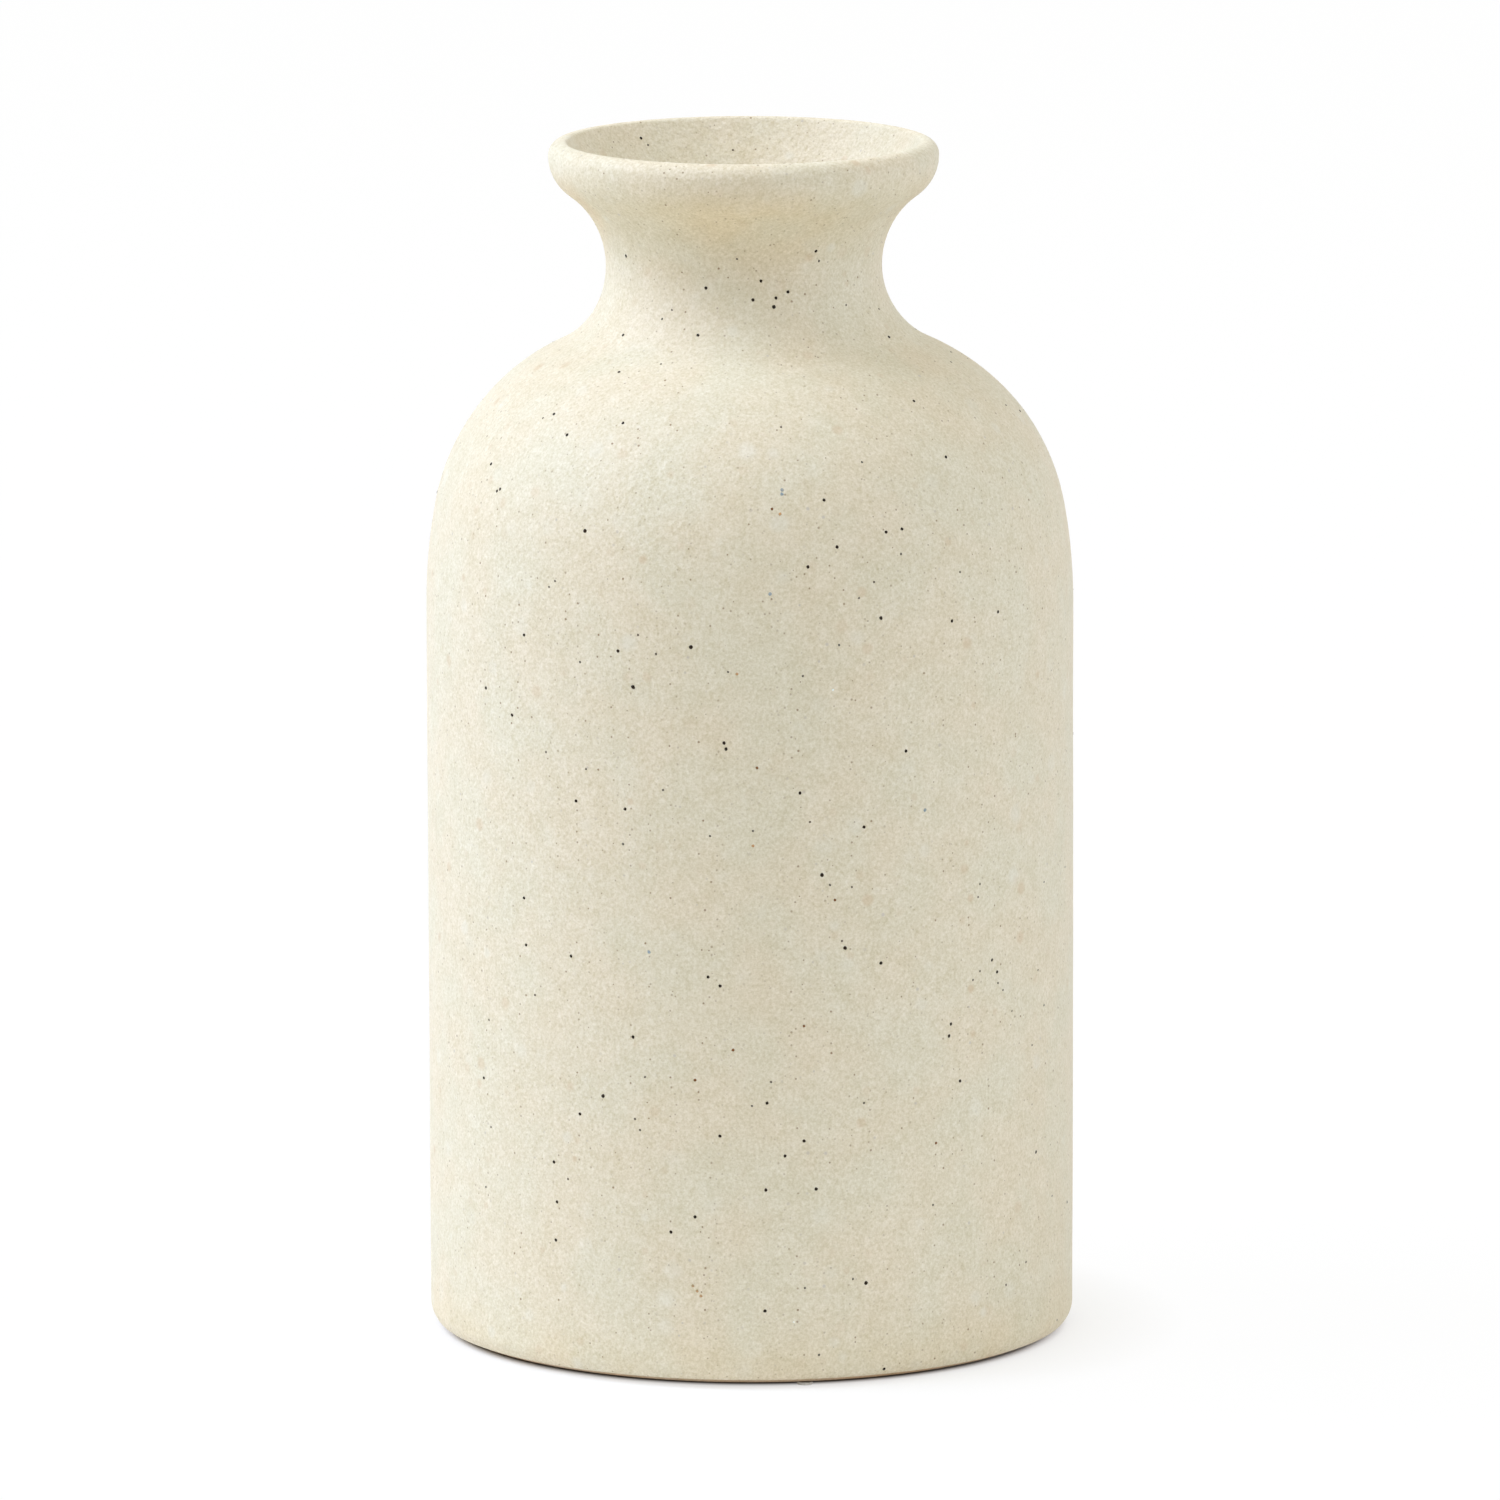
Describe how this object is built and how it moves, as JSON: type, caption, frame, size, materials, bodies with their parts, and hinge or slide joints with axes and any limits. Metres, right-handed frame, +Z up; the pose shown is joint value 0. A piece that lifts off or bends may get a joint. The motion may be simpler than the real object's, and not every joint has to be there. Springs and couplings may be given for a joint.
{
  "type": "bottle vase",
  "caption": "Bottle vase of speckled matt stoneware: straight round body, round shoulder, drawn-in neck and flared mouth with a rolled lip, glazed inside and standing on clear pads.",
  "frame": {"origin": "on the vase's axis, in the plane where the undersides of the pads meet the table", "axes": "+Z up along the vase's axis; -Y is the side that the picture looks at, +X its right"},
  "size_m": [0.1192, 0.1192, 0.2206],
  "materials": {
    "bare_stoneware": "unglazed buff stoneware with fine iron specks, sanded smooth",
    "matt_glaze": "matt cream glaze with dark iron specks and soft tan mottling",
    "liner_glaze": "thin satin cream lining glaze, a little glossier than the outside",
    "clear_pad": "clear soft polyurethane",
    "pad_adhesive": "clear pressure-sensitive adhesive film"
  },
  "bodies": {
    "root": {"stoneware_body": "bare_stoneware", "outer_glaze": "matt_glaze", "liner_glaze": "liner_glaze", "foot_pad_front": "clear_pad", "pad_adhesive_front": "pad_adhesive", "foot_pad_right": "clear_pad", "pad_adhesive_right": "pad_adhesive", "foot_pad_back": "clear_pad", "pad_adhesive_back": "pad_adhesive", "foot_pad_left": "clear_pad", "pad_adhesive_left": "pad_adhesive"}
  },
  "joints": []
}
